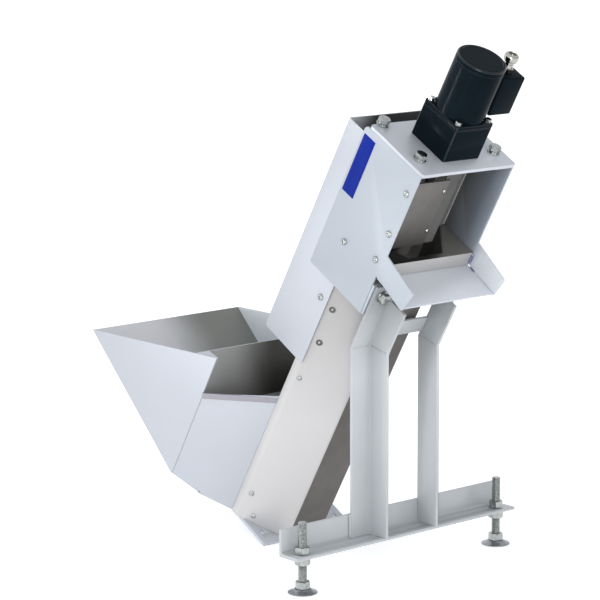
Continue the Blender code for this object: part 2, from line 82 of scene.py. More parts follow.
def take_copy(node, name):
    """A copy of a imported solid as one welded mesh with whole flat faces."""
    piece = bpy.data.objects.new(name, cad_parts[node].data.copy())
    piece.data.materials.clear()
    bpy.context.scene.collection.objects.link(piece)
    bpy.ops.object.select_all(action="DESELECT")
    bpy.context.view_layer.objects.active = piece
    piece.select_set(True)
    bpy.ops.object.mode_set(mode="EDIT")
    bpy.ops.mesh.select_all(action="SELECT")
    bpy.ops.mesh.remove_doubles(threshold=0.00001)
    bpy.ops.mesh.dissolve_limited(angle_limit=math.radians(1.0))
    bpy.ops.mesh.customdata_custom_splitnormals_clear()
    bpy.ops.object.mode_set(mode="OBJECT")
    return piece


def bevel_edges(piece, width, segments, wanted):
    """Rounds the edges for which wanted(middle, direction, fold angle) is true."""
    bpy.context.view_layer.objects.active = piece
    bpy.ops.object.mode_set(mode="EDIT")
    bpy.context.tool_settings.mesh_select_mode = (False, True, False)
    bpy.ops.mesh.select_all(action="DESELECT")
    mesh = bmesh.from_edit_mesh(piece.data)
    for edge in mesh.edges:
        ends = [corner.co for corner in edge.verts]
        if len(edge.link_faces) == 2 and wanted(
                (ends[0] + ends[1]) / 2, (ends[1] - ends[0]).normalized(), edge.calc_face_angle(0.0)):
            edge.select_set(True)
    bmesh.update_edit_mesh(piece.data)
    bpy.ops.mesh.bevel(offset=width, segments=segments, affect="EDGES", clamp_overlap=True)
    bpy.ops.object.mode_set(mode="OBJECT")


def break_edges(piece, width, segments=2, sharper=50.0):
    """Breaks every sharp edge of a piece, as a file or the paint does, and shades it."""
    modifier = piece.modifiers.new("edge", "BEVEL")
    modifier.width = width
    modifier.segments = segments
    modifier.limit_method = "ANGLE"
    modifier.angle_limit = math.radians(sharper)
    bpy.ops.object.select_all(action="DESELECT")
    bpy.context.view_layer.objects.active = piece
    piece.select_set(True)
    bpy.ops.object.modifier_apply(modifier=modifier.name)
    bpy.ops.object.shade_smooth_by_angle(angle=math.radians(40.0))


ANGLE_THICK = 0.006
TOE_RADIUS = 0.0025
ROOT_RADIUS = 0.0055
PAINT_EDGE = 0.0008
ALIGNED = 0.99          # cosine from which an edge counts as running along a direction
SQUARE_FOLD = 1.0       # radians from which a fold counts as a square one
SLACK = 0.001           # how far an edge may lie from where it is looked for

# Alkyd machine enamel, sprayed: an even satin light grey with a slight orange peel. Higher up,
# towards the head, it is darkened with painted shade. The real peel is about 2 mm across.
angle_paint, shader = start_material(
    "grey_enamel_on_rolled_steel", {"Roughness": 0.34, "Coat Weight": 0.4, "Coat Roughness": 0.12})
# Painted shade: the grey darkens higher up the legs.
soiled = add_node(angle_paint, "ShaderNodeMix", {"data_type": "RGBA", 7: linear("#7A7E80")},
                  [(2, shader, "Base Color")])
tint = add_node(angle_paint, "ShaderNodeMix",
                {"data_type": "RGBA", 6: linear("#A3A7AA"), 7: linear("#ACB0B2")}, [(2, soiled, 6)])
height = add_node(angle_paint, "ShaderNodeMapRange", {"From Min": 0.36, "From Max": 0.55},
                  [("Result", soiled, "Factor")])
place = add_node(angle_paint, "ShaderNodeSeparateXYZ", {}, [("Z", height, "Value")])
bump = add_node(angle_paint, "ShaderNodeBump", {"Strength": 0.12, "Distance": 0.0004},
                [("Normal", shader, "Normal")])
cloud = add_node(angle_paint, "ShaderNodeTexNoise", {"Scale": 14.0, "Detail": 3.0},
                 [("Fac", tint, "Factor")])
peel = add_node(angle_paint, "ShaderNodeTexNoise", {"Scale": 480.0, "Detail": 2.0},
                [("Fac", bump, "Height")])
add_node(angle_paint, "ShaderNodeTexCoord", {},
         [("Object", cloud, "Vector"), ("Object", peel, "Vector"), ("Object", place, "Vector")])

base_bar = take_copy("base_bar", "base_bar_angle")
low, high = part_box("base_bar")
bevel_edges(base_bar, TOE_RADIUS, 3, lambda middle, along, fold: (
    abs(along.y) > ALIGNED and fold > SQUARE_FOLD
    and (middle.x > high[0] - SLACK or middle.z > high[2] - SLACK)))
bevel_edges(base_bar, ROOT_RADIUS, 5, lambda middle, along, fold: (
    abs(along.y) > ALIGNED and fold > SQUARE_FOLD and abs(middle.x - low[0] - ANGLE_THICK) < 2 * SLACK
    and abs(middle.z - low[2] - ANGLE_THICK) < 2 * SLACK))
break_edges(base_bar, PAINT_EDGE)
base_bar.data.materials.append(angle_paint)
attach(base_bar, "root")
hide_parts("base_bar")


# Legs
# Two lengths of the same angle, mitred and welded where the leg turns from upright to parallel
# with the trough. The upper end of the inner flange is trimmed round the head box.

LEG_HEEL = Vector((0.2026, 0.0585, 0.0704))
TOE_FROM = 0.043        # past this from the heel only the toes lie
ROOT_TO = 0.012         # short of this from the heel only the heel and the root lie

# All that leans with the screw is placed along it: Z runs up the screw and X squarely out to
# the front.
LEAN = math.radians(30.0)
SCREW_FOOT = (-0.0374, 0.0, -0.006)
TILT = Matrix.Translation(SCREW_FOOT) @ Matrix.Rotation(LEAN, 4, "Y")

for label in ("left", "right"):
    leg = take_copy("leg_" + label, "leg_angle_" + label)
    side = -1.0 if label == "left" else 1.0

    def offsets(middle, along, fold):
        """How far one of the leg's long edges lies from its heel, forwards and sideways."""
        upright = abs(along.z) > ALIGNED
        tilted = abs((TILT.to_3x3().inverted() @ along).z) > ALIGNED
        if not (upright or tilted) or fold < SQUARE_FOLD:
            return 0.0, 0.0
        forwards = middle.x - LEG_HEEL.x if upright else (TILT.inverted() @ middle).x
        return forwards, side * middle.y - LEG_HEEL.y

    bevel_edges(leg, TOE_RADIUS, 3, lambda *edge: max(offsets(*edge)) > TOE_FROM)
    bevel_edges(leg, ROOT_RADIUS, 5, lambda *edge: (
        min(offsets(*edge)) > SLACK and max(offsets(*edge)) < ROOT_TO))
    break_edges(leg, PAINT_EDGE)
    leg.data.materials.append(angle_paint)
    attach(leg, "root")
    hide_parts("leg_" + label)


# Cross bar
# A strip of 26 x 5 mm flat steel, sawn to length. It is welded at both ends between the legs and
# painted with them.

cross_bar = take_copy("cross_bar", "cross_bar_strip")
break_edges(cross_bar, PAINT_EDGE)
cross_bar.data.materials.append(angle_paint)
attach(cross_bar, "root")
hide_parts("cross_bar")


# Levelling feet
# Each is a pressed steel foot on an M16 threaded stud, with one nut locking the foot and two
# clamping the base bar. All of it is zinc plated.

def turn(name, rings, sides=32):
    """A turned piece about Z: a disc at the first radius and height, drawn on to each next one."""
    bpy.ops.object.select_all(action="DESELECT")
    radius, height = rings[0]
    bpy.ops.mesh.primitive_circle_add(
        vertices=sides, radius=radius, fill_type="NGON", location=(0, 0, height))
    piece = bpy.context.object
    piece.name = name
    bpy.ops.object.transform_apply(location=True, rotation=True, scale=True)
    bpy.ops.object.mode_set(mode="EDIT")
    bpy.context.tool_settings.mesh_select_mode = (False, False, True)
    bpy.ops.mesh.select_all(action="SELECT")
    for next_radius, next_height in rings[1:]:
        bpy.ops.mesh.extrude_region_move(TRANSFORM_OT_translate={"value": (0, 0, next_height - height)})
        scale = next_radius / radius
        bpy.ops.transform.resize(value=(scale, scale, 1.0), center_override=(0, 0, next_height))
        radius, height = next_radius, next_height
    bpy.ops.mesh.select_all(action="SELECT")
    bpy.ops.mesh.normals_make_consistent(inside=False)
    bpy.ops.object.mode_set(mode="OBJECT")
    bpy.ops.object.shade_smooth_by_angle(angle=math.radians(40.0))
    return piece


def cut_by(piece, other, operation):
    """Joins, cuts or trims a piece by another, which is then gone."""
    modifier = piece.modifiers.new("cut", "BOOLEAN")
    modifier.operation = operation
    modifier.solver = "EXACT"
    modifier.object = other
    bpy.ops.object.select_all(action="DESELECT")
    bpy.context.view_layer.objects.active = piece
    piece.select_set(True)
    bpy.ops.object.modifier_apply(modifier=modifier.name)
    bpy.data.objects.remove(other)
    bpy.ops.object.shade_smooth_by_angle(angle=math.radians(35.0))


HEXAGON_CHAMFER = math.radians(30.0)
TURNED_SHARE = 0.97     # of the size across flats, where the turned corners start


def make_hexagon(name, flats, height, both_ends):
    """A hexagon of that size across flats, its corners turned off at the top or at both ends."""
    corner = flats / math.sqrt(3)
    turned = flats / 2 * TURNED_SHARE
    drop = (corner - turned) * math.tan(HEXAGON_CHAMFER)
    clear = corner * 1.01
    piece = turn(name, [(corner, 0.0), (corner, height)], sides=6)
    rings = [(turned, 0.0), (clear, drop)] if both_ends else [(clear, 0.0)]
    lathe = turn("lathe", rings + [(clear, height - drop), (turned, height)], sides=48)
    cut_by(piece, lathe, "INTERSECT")
    return piece


def set_down(piece, place):
    """Moves a finished piece to its place, which stays in its mesh."""
    piece.data.transform(place)
    return piece


# Zinc plate with a clear passivate on steel: it turns from grey to bright grey in clouds a few
# millimetres across.
zinc, shader = start_material("zinc_plated_steel", {"Metallic": 1.0})
tint = add_node(zinc, "ShaderNodeMix",
                {"data_type": "RGBA", 6: linear("#6F7572"), 7: linear("#C9CECB")},
                [(2, shader, "Base Color")])
gloss = add_node(zinc, "ShaderNodeMapRange", {"To Min": 0.15, "To Max": 0.28},
                 [("Result", shader, "Roughness")])
bump = add_node(zinc, "ShaderNodeBump", {"Strength": 0.10, "Distance": 0.0002},
                [("Normal", shader, "Normal")])
cloud = add_node(zinc, "ShaderNodeTexNoise", {"Scale": 260.0, "Detail": 2.0}, [("Fac", tint, "Factor")])
grain = add_node(zinc, "ShaderNodeTexNoise", {"Scale": 700.0, "Detail": 2.0},
                 [("Fac", gloss, "Value"), ("Fac", bump, "Height")])
add_node(zinc, "ShaderNodeTexCoord", {}, [("Object", cloud, "Vector"), ("Object", grain, "Vector")])


def clouded(name, settings, tones, scale, detail, gloss=None):
    """A material that goes between two near tones in soft clouds, and its roughness with them."""
    material, shader = start_material(name, settings)
    tint = add_node(material, "ShaderNodeMix",
                    {"data_type": "RGBA", 6: linear(tones[0]), 7: linear(tones[1])},
                    [(2, shader, "Base Color")])
    driven = [("Fac", tint, "Factor")]
    if gloss:
        level = add_node(material, "ShaderNodeMapRange", {"To Min": gloss[0], "To Max": gloss[1]},
                         [("Result", shader, "Roughness")])
        driven.append(("Fac", level, "Value"))
    cloud = add_node(material, "ShaderNodeTexNoise", {"Scale": scale, "Detail": detail}, driven)
    add_node(material, "ShaderNodeTexCoord", {}, [("Object", cloud, "Vector")])
    return material


# The foot itself is pressed from 2 mm sheet and plated over its drawing marks, so it stays darker.
pressed_steel = clouded("zinc_plated_pressing", {"Metallic": 1.0}, ("#85888B", "#9B9EA1"),
                        90.0, 3.0, (0.16, 0.30))

STUD_RADIUS = 0.008
THREAD_PITCH = 0.002
THREAD_DEPTH = 0.0007
STUD_CHAMFER = 0.0015
NUT_FLATS = 0.024
NUT_TURN = 0.4          # each nut stands turned by this much from the one below, in radians
BORE_ENDS = (-0.01, 0.03)
DISC_EDGE = 0.0265
DISC_FILLET = 0.0006
DISC_RIM = 0.0024
GAP = 0.0003            # left between pieces that touch

for label in ("left", "right"):
    foot_low, foot_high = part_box("foot_stud_" + label)
    center = Matrix.Translation(((foot_low[0] + foot_high[0]) / 2, (foot_low[1] + foot_high[1]) / 2, 0.0))

    low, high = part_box("foot_disc_" + label)
    disc = turn("foot_pad_" + label, [
        (DISC_EDGE - DISC_FILLET, 0.0), (DISC_EDGE, DISC_FILLET), (DISC_EDGE, DISC_RIM - DISC_FILLET),
        (DISC_EDGE - DISC_FILLET, DISC_RIM), (0.0210, 0.0036), (0.0180, 0.0052), (0.0155, 0.0070),
        (0.0145, high[2]), (0.0100, high[2] + 0.0001)], sides=48)
    set_down(disc, center)

    stud_low = high[2] + GAP
    rings = [(STUD_RADIUS - STUD_CHAMFER, stud_low), (STUD_RADIUS, stud_low + STUD_CHAMFER)]
    height = stud_low + STUD_CHAMFER
    while height + THREAD_PITCH < foot_high[2] - STUD_CHAMFER:
        rings += [(STUD_RADIUS - THREAD_DEPTH, height + THREAD_PITCH / 2),
                  (STUD_RADIUS, height + THREAD_PITCH)]
        height += THREAD_PITCH
    rings += [(STUD_RADIUS - STUD_CHAMFER, foot_high[2])]
    stud = turn("foot_thread_" + label, rings, sides=20)
    set_down(stud, center)

    for piece, node in ((disc, "foot_disc_" + label), (stud, "foot_stud_" + label)):
        piece.data.materials.append(pressed_steel if piece == disc else zinc)
        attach(piece, "root")
        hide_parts(node)

    for number, level in enumerate(("base", "lower", "upper")):
        node = "foot_nut_" + level + "_" + label
        low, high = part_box(node)
        nut = make_hexagon("foot_hexagon_" + level + "_" + label, NUT_FLATS, high[2] - low[2], True)
        bore = turn("bore", [(STUD_RADIUS + GAP, end) for end in BORE_ENDS])
        cut_by(nut, bore, "DIFFERENCE")
        seat = center @ Matrix.Translation((0, 0, low[2]))
        set_down(nut, seat @ Matrix.Rotation(NUT_TURN * number, 4, "Z"))
        nut.data.materials.append(zinc)
        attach(nut, "root")
        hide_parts(node)


# Tail plate and bearing
# The lower end of the trough is closed by a 6 mm laser-cut plate with a slotted hole near each
# front corner, and carries a turned bearing for the screw.

def rolled_sheet(name, tones):
    """Stainless sheet, grade 304 with the cold-rolled 2B surface, between two near tones.

    It is a soft, even, slightly bluish mirror with the faintest streaks along the rolling direction.
    The real streaks are under a tenth of a millimetre wide and are drawn about 1 mm wide.
    """
    material, shader = start_material(name, {"Metallic": 0.45, "Anisotropic": 0.2})
    tint = add_node(material, "ShaderNodeMix",
                    {"data_type": "RGBA", 6: linear(tones[0]), 7: linear(tones[1])},
                    [(2, shader, "Base Color")])
    gloss = add_node(material, "ShaderNodeMapRange", {"To Min": 0.44, "To Max": 0.56},
                     [("Result", shader, "Roughness")])
    bump = add_node(material, "ShaderNodeBump", {"Strength": 0.05, "Distance": 0.0002},
                    [("Normal", shader, "Normal")])
    cloud = add_node(material, "ShaderNodeTexNoise", {"Scale": 7.0, "Detail": 2.0},
                     [("Fac", tint, "Factor")])
    streak = add_node(material, "ShaderNodeTexNoise", {"Scale": 60.0, "Detail": 4.0},
                      [("Fac", gloss, "Value"), ("Fac", bump, "Height")])
    rolled = add_node(material, "ShaderNodeMapping",
                      {"Rotation": (0.0, -LEAN, 0.0), "Scale": (14, 14, 1)},
                      [("Vector", streak, "Vector")])
    add_node(material, "ShaderNodeTexCoord", {},
             [("Object", cloud, "Vector"), ("Object", rolled, "Vector")])
    return material


sheet_steel = rolled_sheet("cold_rolled_stainless_sheet", ("#AEB2B8", "#B5B9BF"))

PLATE_EDGE = 0.0006

for node, name in (("tail_plate", "tail_cover"), ("tail_bearing", "tail_bush")):
    piece = take_copy(node, name)
    break_edges(piece, PLATE_EDGE)
    piece.data.materials.append(sheet_steel if node == "tail_plate" else angle_paint)
    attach(piece, "root")
    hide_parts(node)


# Trough
# One sheet of 3 mm stainless steel, folded on a press brake into a channel with a narrow flat
# front and two slanted walls. It is left as rolled; its front and its inside are darkened with
# painted shade.

# The same steel in its warmer, more open rolled finish, darkened towards the head with painted
# shade.
trough_steel, shader = start_material("satin_stainless_sheet", {"Metallic": 0.5, "Anisotropic": 0.3})
# Painted shade: the sheet darkens higher up.
oiled = add_node(trough_steel, "ShaderNodeMix", {"data_type": "RGBA", 7: linear("#969594")},
                 [(2, shader, "Base Color")])
tint = add_node(trough_steel, "ShaderNodeMix",
                {"data_type": "RGBA", 6: linear("#BFBEBD"), 7: linear("#C6C5C5")}, [(2, oiled, 6)])
height = add_node(trough_steel, "ShaderNodeMapRange", {"From Min": 0.25, "From Max": 0.60},
                  [("Result", oiled, "Factor")])
place = add_node(trough_steel, "ShaderNodeSeparateXYZ", {}, [("Z", height, "Value")])
gloss = add_node(trough_steel, "ShaderNodeMapRange", {"To Min": 0.40, "To Max": 0.52},
                 [("Result", shader, "Roughness")])
bump = add_node(trough_steel, "ShaderNodeBump", {"Strength": 0.06, "Distance": 0.0002},
                [("Normal", shader, "Normal")])
cloud = add_node(trough_steel, "ShaderNodeTexNoise", {"Scale": 5.0, "Detail": 3.0},
                 [("Fac", tint, "Factor")])
streak = add_node(trough_steel, "ShaderNodeTexNoise", {"Scale": 60.0, "Detail": 4.0},
                  [("Fac", gloss, "Value"), ("Fac", bump, "Height")])
rolled = add_node(trough_steel, "ShaderNodeMapping",
                  {"Rotation": (0.0, -LEAN, 0.0), "Scale": (12, 12, 1)},
                  [("Vector", streak, "Vector")])
add_node(trough_steel, "ShaderNodeTexCoord", {},
         [("Object", cloud, "Vector"), ("Object", rolled, "Vector"), ("Object", place, "Vector")])

# The narrow front is a dull, even, brownish grey: painted shade on a face that looks forwards
# and down.
mill_steel, shader = start_material("pickled_hot_rolled_stainless", {"Metallic": 1.0})
tint = add_node(mill_steel, "ShaderNodeMix",
                {"data_type": "RGBA", 6: linear("#666461"), 7: linear("#827F7C")},
                [(2, shader, "Base Color")])
gloss = add_node(mill_steel, "ShaderNodeMapRange", {"To Min": 0.55, "To Max": 0.66},
                 [("Result", shader, "Roughness")])
bump = add_node(mill_steel, "ShaderNodeBump", {"Strength": 0.08, "Distance": 0.0002},
                [("Normal", shader, "Normal")])
cloud = add_node(mill_steel, "ShaderNodeTexNoise", {"Scale": 22.0, "Detail": 3.0},
                 [("Fac", tint, "Factor")])
grain = add_node(mill_steel, "ShaderNodeTexNoise", {"Scale": 500.0, "Detail": 2.0},
                 [("Fac", gloss, "Value"), ("Fac", bump, "Height")])
add_node(mill_steel, "ShaderNodeTexCoord", {}, [("Object", cloud, "Vector"), ("Object", grain, "Vector")])

# Inside, the same sheet is darkened to brown-black with painted shade. The bushes on the
# walls take it too, as oiled steel.
stained_steel = clouded("oil_stained_stainless", {"Metallic": 0.6}, ("#4B4A48", "#6E6D6B"),
                        18.0, 5.0, (0.35, 0.60))

FOLD_RADIUS = 0.004
SHEET_EDGE = 0.0004
FRONT_FACING = 0.97     # cosine from which a face belongs to the narrow front
FRONT_INSIDE = -0.100   # the inner faces of the front and the slanted walls lie before this
WALL_INSIDE = -0.0956   # and those of the walls' turned edges behind this


def paint_faces(piece, material, wanted):
    """Gives another finish to the faces for which wanted(middle, normal) is true along the screw."""
    piece.data.materials.append(material)
    level = TILT.inverted()
    for face in piece.data.polygons:
        if wanted(level @ face.center, level.to_3x3() @ face.normal):
            face.material_index = len(piece.data.materials) - 1


def is_fold(middle, along, fold):
    """True for an edge along the screw where a sheet is folded, not for the rim of the sheet."""
    upwards = (TILT.to_3x3().inverted() @ along).z
    return abs(upwards) > ALIGNED and math.radians(20) < fold < math.radians(75)


trough = take_copy("trough", "trough_sheet")
bevel_edges(trough, FOLD_RADIUS, 3, is_fold)
break_edges(trough, SHEET_EDGE)
trough.data.materials.append(trough_steel)
# The narrow front and the inner faces take painted shade.
paint_faces(trough, mill_steel, lambda middle, normal: normal.x > FRONT_FACING)
paint_faces(trough, stained_steel, lambda middle, normal: (
    normal.x < -0.3 and middle.x > FRONT_INSIDE or middle.x < WALL_INSIDE and middle.y * normal.y < 0))
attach(trough, "root")
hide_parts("trough")


# Screw
# A turned shaft with a flight cut from 3 mm stainless plate, drawn into a helix and welded on.
# It keeps its imported shape, and is darkened with painted shade like the inside of the trough.

for node in [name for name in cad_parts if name.startswith("screw_")]:
    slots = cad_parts[node].material_slots
    for index in range(len(slots)):
        slots[index].material = stained_steel


# Hood
# The inverted channel of 2 mm sheet that closes the trough from behind, folded twice on a press
# brake. It is held by pop rivets and by a screw near the head box.

WAVER = 0.030           # how far the noise moves the border between the two tones


def scuffed(name, tones, start, end):
    """Sheet with painted light and shade, so that it changes from one tone to another along Y."""
    material, shader = start_material(name, {"Metallic": 0.5})
    tone = add_node(material, "ShaderNodeMix",
                    {"data_type": "RGBA", 6: linear(tones[0]), 7: linear(tones[1])},
                    [(2, shader, "Base Color")])
    across = add_node(material, "ShaderNodeMapRange",
                      {"interpolation_type": "SMOOTHSTEP", "From Min": start, "From Max": end},
                      [("Result", tone, "Factor")])
    waver = add_node(material, "ShaderNodeMath", {"operation": "MULTIPLY_ADD", 1: WAVER},
                     [("Value", across, "Value")])
    place = add_node(material, "ShaderNodeSeparateXYZ", {}, [("Y", waver, 2)])
    gloss = add_node(material, "ShaderNodeMapRange", {"To Min": 0.45, "To Max": 0.62},
                     [("Result", shader, "Roughness")])
    cloud = add_node(material, "ShaderNodeTexNoise", {"Scale": 16.0, "Detail": 4.0},
                     [("Fac", waver, 0), ("Fac", gloss, "Value")])
    add_node(material, "ShaderNodeTexCoord", {},
             [("Object", cloud, "Vector"), ("Object", place, "Vector")])
    return material


# A pattern that follows the screw is placed along it with this mapping.
LEVEL = {"vector_type": "TEXTURE", "Location": SCREW_FOOT, "Rotation": (0.0, LEAN, 0.0)}

# Inside, the walls are darkened with painted shade from the back corners towards the screw.
splashed_steel, shader = start_material("oil_splashed_hood_sheet", {"Metallic": 0.45, "Roughness": 0.5})
film = add_node(splashed_steel, "ShaderNodeMix",
                {"data_type": "RGBA", 6: linear("#B0B2B4"), 7: linear("#8B8984")},
                [(2, shader, "Base Color")])
depth = add_node(splashed_steel, "ShaderNodeMapRange", {"From Min": -0.205, "From Max": -0.150},
                 [("Result", film, "Factor")])
place = add_node(splashed_steel, "ShaderNodeSeparateXYZ", {}, [("X", depth, "Value")])
level = add_node(splashed_steel, "ShaderNodeMapping", LEVEL, [("Vector", place, "Vector")])
add_node(splashed_steel, "ShaderNodeTexCoord", {}, [("Object", level, "Vector")])

# The back's inner face is pale at the near end and dark at the far end: painted light and shade.
hood_back_steel = scuffed("oil_darkened_hood_sheet", ("#D6D9DC", "#3E4042"), -0.100, -0.020)

HOOD_FOLD = 0.003
HOOD_BACK = -0.2        # the folds at the hood's back lie behind this
FACING = 0.9            # cosine from which a face counts as facing a direction


def is_hood_fold(middle, along, fold):
    """True for the two right-angled folds at the hood's back, outside and inside."""
    upwards = (TILT.to_3x3().inverted() @ along).z
    return abs(upwards) > ALIGNED and fold > SQUARE_FOLD and (TILT.inverted() @ middle).x < HOOD_BACK


def faces_inwards(middle, normal):
    """True for a face of a side wall that looks towards the screw."""
    return middle.y * normal.y < -0.05


hood = take_copy("hood", "hood_sheet")
bevel_edges(hood, HOOD_FOLD, 3, is_hood_fold)
break_edges(hood, SHEET_EDGE)
hood.data.materials.append(sheet_steel)
paint_faces(hood, splashed_steel, faces_inwards)
paint_faces(hood, hood_back_steel, lambda middle, normal: normal.x > FACING and middle.x < -0.15)
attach(hood, "root")
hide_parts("hood")


# Hopper
# Seven panels of 3 mm stainless sheet with ground corner welds: back, bottom, two upright sides,
# two slanted panels that lead into the trough, and the baffle with its gussets in front.

# The back's inner face and the baffle's front carry painted light and shade: paler on the near
# half, darker on the far half.
worn_steel = scuffed("chip_scuffed_stainless", ("#C2C3C6", "#767873"), -0.040, 0.105)
baffle_steel = scuffed("oil_darkened_baffle_sheet", ("#A9AAA8", "#454441"), -0.085, 0.025)

# The inner faces of the upright sides are paler: painted light.
rubbed_steel = clouded("rubbed_bright_stainless", {"Metallic": 0.3, "Roughness": 0.5},
                       ("#D2DADD", "#DDE3E8"), 12.0, 3.0)

# The turned lips keep the lilac-grey haze of the grinding disc.
ground_steel = clouded("ground_stainless_edge", {"Metallic": 0.5, "Roughness": 0.42},
                       ("#8E8C93", "#9B99A0"), 90.0, 3.0)


def add_block(name, low, high):
    """A block between two corners, with its place in its mesh."""
    bpy.ops.object.select_all(action="DESELECT")
    middle = [(first + last) / 2 for first, last in zip(low, high)]
    size = [last - first for first, last in zip(low, high)]
    bpy.ops.mesh.primitive_cube_add(size=1.0, location=middle, scale=size)
    bpy.ops.object.transform_apply(location=True, rotation=True, scale=True)
    piece = bpy.context.object
    piece.name = name
    return piece


for node in ("hopper_back", "hopper_bottom", "hopper_front_baffle", "hopper_side_left",
             "hopper_side_right", "hopper_slant_left", "hopper_slant_right", "hopper_gusset_left",
             "hopper_gusset_right"):
    panel = take_copy(node, node + "_panel")
    break_edges(panel, SHEET_EDGE)
    panel.data.materials.append(sheet_steel)
    # The inner faces take painted light and shade.
    if "slant" in node or node == "hopper_bottom":
        paint_faces(panel, stained_steel, lambda middle, normal: normal.x < -0.5 or normal.z > FACING)
    elif node == "hopper_back":
        paint_faces(panel, worn_steel, lambda middle, normal: normal.z > FACING)
    elif node == "hopper_front_baffle":
        paint_faces(panel, baffle_steel, lambda middle, normal: normal.x > 0.5)
    elif "side" in node:
        paint_faces(panel, rubbed_steel, faces_inwards)
    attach(panel, "root")
    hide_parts(node)

# The side and slanted panels meet in an outside corner that is welded full and ground smooth.
SEAM_PLACE = (-0.2200, 0.1823)
SEAM_LOW = 0.0262
SEAM_HIGH = 0.2190
SEAM_RADIUS = 0.0021
SEAM_TAPER = 0.001

# Above each slanted panel the sheet is turned over into a stiff lip, 11 mm high.
LIP_START = Vector((-0.2186, 0.1822, 0.2152))
LIP_END = Vector((-0.1128, 0.1036, 0.2756))
LIP_HEIGHT = 0.0112
LIP_THICK = 0.0016
LIP_INSET = 0.0020      # how deep the lip's back is let into the panel
LIP_CLEAR = 0.0018
LIP_EDGE = 0.0002

for side, label in ((-1, "left"), (1, "right")):
    seam = turn("hopper_seam_" + label, [
        (SEAM_RADIUS * 0.5, SEAM_LOW), (SEAM_RADIUS, SEAM_LOW + SEAM_TAPER),
        (SEAM_RADIUS, SEAM_HIGH - SEAM_TAPER), (SEAM_RADIUS * 0.5, SEAM_HIGH)], sides=20)
    set_down(seam, TILT @ Matrix.Translation((SEAM_PLACE[0], side * SEAM_PLACE[1], 0)))
    start = Vector((LIP_START.x, side * LIP_START.y, LIP_START.z))
    run = Vector((LIP_END.x, side * LIP_END.y, LIP_END.z)) - start
    outward = Vector((-run.y, run.x, 0)).normalized() * side
    across = outward.cross(run.normalized())
    lip = add_block("hopper_lip_" + label, (0, -LIP_HEIGHT / 2, -LIP_INSET),
                    (run.length, LIP_HEIGHT / 2, LIP_THICK))
    bevel_edges(lip, LIP_THICK * 0.45, 3, lambda middle, along, fold: (
        abs(along.x) > ALIGNED and middle.z > 0.001))
    break_edges(lip, LIP_EDGE)
    turned = Matrix((run.normalized(), across, outward)).transposed().to_4x4()
    set_down(lip, TILT @ Matrix.Translation(start + outward * LIP_CLEAR) @ turned)
    seam.data.materials.append(sheet_steel)
    lip.data.materials.append(ground_steel)
    for piece in (seam, lip):
        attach(piece, "root")


# Head box
# Two side plates with folded flanges, the shelf that the trough ends in, the sloping floor of
# the chute, and a 6 mm top plate that carries the gear motor.

# Its sheet has a cooler tone than the hopper's.
head_steel = rolled_sheet("head_box_stainless_sheet", ("#A3A9B0", "#AAB0B7"))

# Inside, the side plates carry painted shade: dark at the back, paler towards the chute.
inner_steel, shader = start_material("oil_filmed_head_sheet", {"Metallic": 0.45})
film = add_node(inner_steel, "ShaderNodeValToRGB", {}, [("Color", shader, "Base Color")])
film.color_ramp.elements[0].color = linear("#403F3D")
film.color_ramp.elements[1].color = linear("#CFD2D6")
for position, code in ((0.28, "#66696C"), (0.58, "#767D86"), (0.80, "#9AA2AC"), (0.93, "#C0C7CF")):
    stop = film.color_ramp.elements.new(position)
    stop.color = linear(code)
depth = add_node(inner_steel, "ShaderNodeMapRange", {"From Min": -0.110, "From Max": 0.012},
                 [("Result", film, "Fac")])
place = add_node(inner_steel, "ShaderNodeSeparateXYZ", {}, [("X", depth, "Value")])
gloss = add_node(inner_steel, "ShaderNodeMapRange", {"To Min": 0.40, "To Max": 0.58},
                 [("Result", shader, "Roughness")])
cloud = add_node(inner_steel, "ShaderNodeTexNoise", {"Scale": 30.0, "Detail": 4.0},
                 [("Fac", gloss, "Value")])
level = add_node(inner_steel, "ShaderNodeMapping", LEVEL, [("Vector", place, "Vector")])
add_node(inner_steel, "ShaderNodeTexCoord", {},
         [("Object", cloud, "Vector"), ("Object", level, "Vector")])

# The faces that look down under the top plate and its top flanges are near black: painted
# shadow.
blackened_steel = clouded("oil_blackened_stainless", {"Metallic": 0.2, "Roughness": 0.6},
                          ("#0E0D0C", "#1D1C1A"), 40.0, 4.0)

# The shelf's top is darkened with painted shade, near black except towards its far side.
shelf_steel = scuffed("oil_filmed_shelf_sheet", ("#0E0D0C", "#5E5D5A"), 0.010, 0.065)

HEAD_FOLD = 0.0022
OUTER_FACE = 0.108      # the outer faces of the side plates and their flanges lie past this
TOP_FROM = 0.85         # the top flanges lie above this, along the screw
LEG_FLANGE = (-0.0105, 0.625)   # the leg flanges lie in front of the one and below the other


def is_flange_fold(middle, along, fold):
    """True where a side plate turns into its top flange or its leg flange, on the outside."""
    place = TILT.inverted() @ middle
    turned = TILT.to_3x3().inverted() @ along
    if fold < 1.2 or abs(place.y) < OUTER_FACE:
        return False
    on_top = abs(turned.x) > ALIGNED and place.z > TOP_FROM
    on_leg = abs(turned.z) > ALIGNED and place.x > LEG_FLANGE[0] and place.z < LEG_FLANGE[1]
    return on_top or on_leg


HEAD_SHEETS = {"head_side_left": head_steel, "head_side_right": head_steel,
               "shelf_plate": trough_steel, "chute_floor": sheet_steel, "head_plate": sheet_steel}

for node, sheet in HEAD_SHEETS.items():
    piece = take_copy(node, node + "_sheet")
    if node.startswith("head_side"):
        bevel_edges(piece, HEAD_FOLD, 3, is_flange_fold)
    break_edges(piece, PLATE_EDGE if node == "head_plate" else SHEET_EDGE)
    piece.data.materials.append(sheet)
    # Inner faces take painted shade, and the faces under the top plate painted shadow.
    if node.startswith("head_side"):
        paint_faces(piece, inner_steel, faces_inwards)
        paint_faces(piece, blackened_steel, lambda middle, normal: normal.z < -FACING and middle.z > 0.84)
    elif node == "shelf_plate":
        paint_faces(piece, shelf_steel, lambda middle, normal: normal.z > FACING and middle.z > 0.66)
    elif node == "head_plate":
        paint_faces(piece, blackened_steel, lambda middle, normal: normal.z < -FACING)
    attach(piece, "root")
    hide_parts(node)
